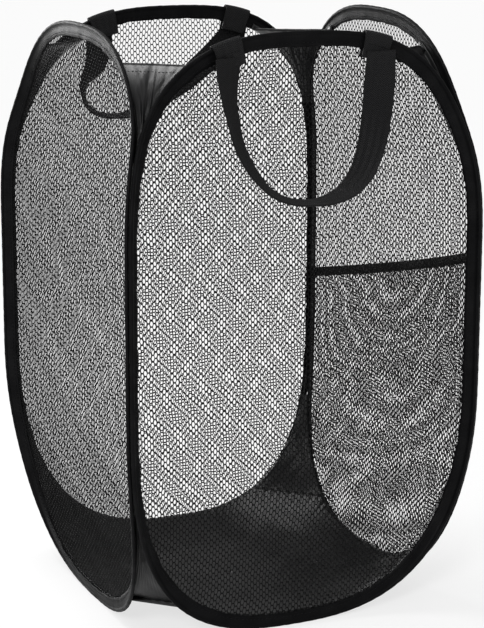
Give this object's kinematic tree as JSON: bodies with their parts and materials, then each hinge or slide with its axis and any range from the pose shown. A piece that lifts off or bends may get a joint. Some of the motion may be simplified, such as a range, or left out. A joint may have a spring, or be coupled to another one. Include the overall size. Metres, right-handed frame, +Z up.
{
  "type": "pop up laundry hamper",
  "caption": "Square pop-up laundry hamper: bowed spring-wire hoops in fabric casings, net walls and pocket, a nylon floor and gussets, and webbing handles; it folds flat.",
  "frame": {"origin": "on the ground under the middle of the hamper, on the underside of its floor", "axes": "+Z up, -Y the front wall, which has a handle, and +X the wall with the pocket"},
  "size_m": [0.3689, 0.4032, 0.56],
  "materials": {
    "spring_steel": "drawn wire",
    "zinced_steel": "zinc plated, crimped",
    "casing_tape": "black woven polyester tape",
    "knitted_net": "black knitted polyester net",
    "satin_nylon": "black satin nylon",
    "webbing": "black ribbed polypropylene webbing"
  },
  "bodies": {
    "front_panel": {"front_wire_hoop": "spring_steel", "front_wire_ferrule": "zinced_steel", "front_hoop_casing": "casing_tape", "front_net_wall": "knitted_net", "front_handle_anchor_right": "webbing", "front_handle_anchor_left": "webbing", "floor_sheet": "satin_nylon", "gusset_front_left": "satin_nylon", "gusset_front_right": "satin_nylon"},
    "left_panel": {"left_wire_hoop": "spring_steel", "left_wire_ferrule": "zinced_steel", "left_hoop_casing": "casing_tape", "left_net_wall": "knitted_net", "gusset_back_left": "satin_nylon"},
    "back_panel": {"back_wire_hoop": "spring_steel", "back_wire_ferrule": "zinced_steel", "back_hoop_casing": "casing_tape", "back_net_wall": "knitted_net", "back_handle_anchor_right": "webbing", "back_handle_anchor_left": "webbing"},
    "right_panel": {"right_wire_hoop": "spring_steel", "right_wire_ferrule": "zinced_steel", "right_hoop_casing": "casing_tape", "right_net_wall": "knitted_net", "pocket_net": "knitted_net", "pocket_binding": "casing_tape", "gusset_back_right": "satin_nylon"},
    "front_handle": {"front_handle_strap": "webbing"},
    "back_handle": {"back_handle_strap": "webbing"}
  },
  "joints": [
    {"name": "left_fold", "type": "hinge", "parent": "front_panel", "child": "left_panel", "pos_m": [-0.17567, -0.17567, 0.28], "axis": [0, 0, 1], "range_deg": [0, 84], "stiffness_Nm_per_rad": 0.3, "deforming": ["front_wire_hoop", "front_wire_ferrule", "front_hoop_casing", "front_net_wall", "left_wire_hoop", "left_wire_ferrule", "left_hoop_casing", "left_net_wall", "floor_sheet", "gusset_front_left", "gusset_back_left"]},
    {"name": "back_fold", "type": "hinge", "parent": "left_panel", "child": "back_panel", "pos_m": [-0.16577, 0.16577, 0.28], "axis": [0, 0, 1], "range_deg": [-84, 0], "deforming": ["back_wire_hoop", "back_wire_ferrule", "back_hoop_casing", "back_net_wall"]},
    {"name": "right_fold", "type": "hinge", "parent": "front_panel", "child": "right_panel", "pos_m": [0.16577, -0.16577, 0.28], "axis": [0, 0, 1], "range_deg": [0, 84], "deforming": ["right_wire_hoop", "right_wire_ferrule", "right_hoop_casing", "right_net_wall", "pocket_net", "pocket_binding", "gusset_front_right", "gusset_back_right"]},
    {"name": "front_handle_swing", "type": "hinge", "parent": "front_panel", "child": "front_handle", "pos_m": [0, -0.16216, 0.53994], "axis": [-1, 0, 0], "range_deg": [0, 165]},
    {"name": "back_handle_swing", "type": "hinge", "parent": "back_panel", "child": "back_handle", "pos_m": [0, 0.16216, 0.53994], "axis": [1, 0, 0], "range_deg": [0, 165]}
  ],
  "couplings": [
    {"joint": "back_fold", "follows": "left_fold", "ratio": -1},
    {"joint": "right_fold", "follows": "left_fold", "ratio": 1}
  ]
}
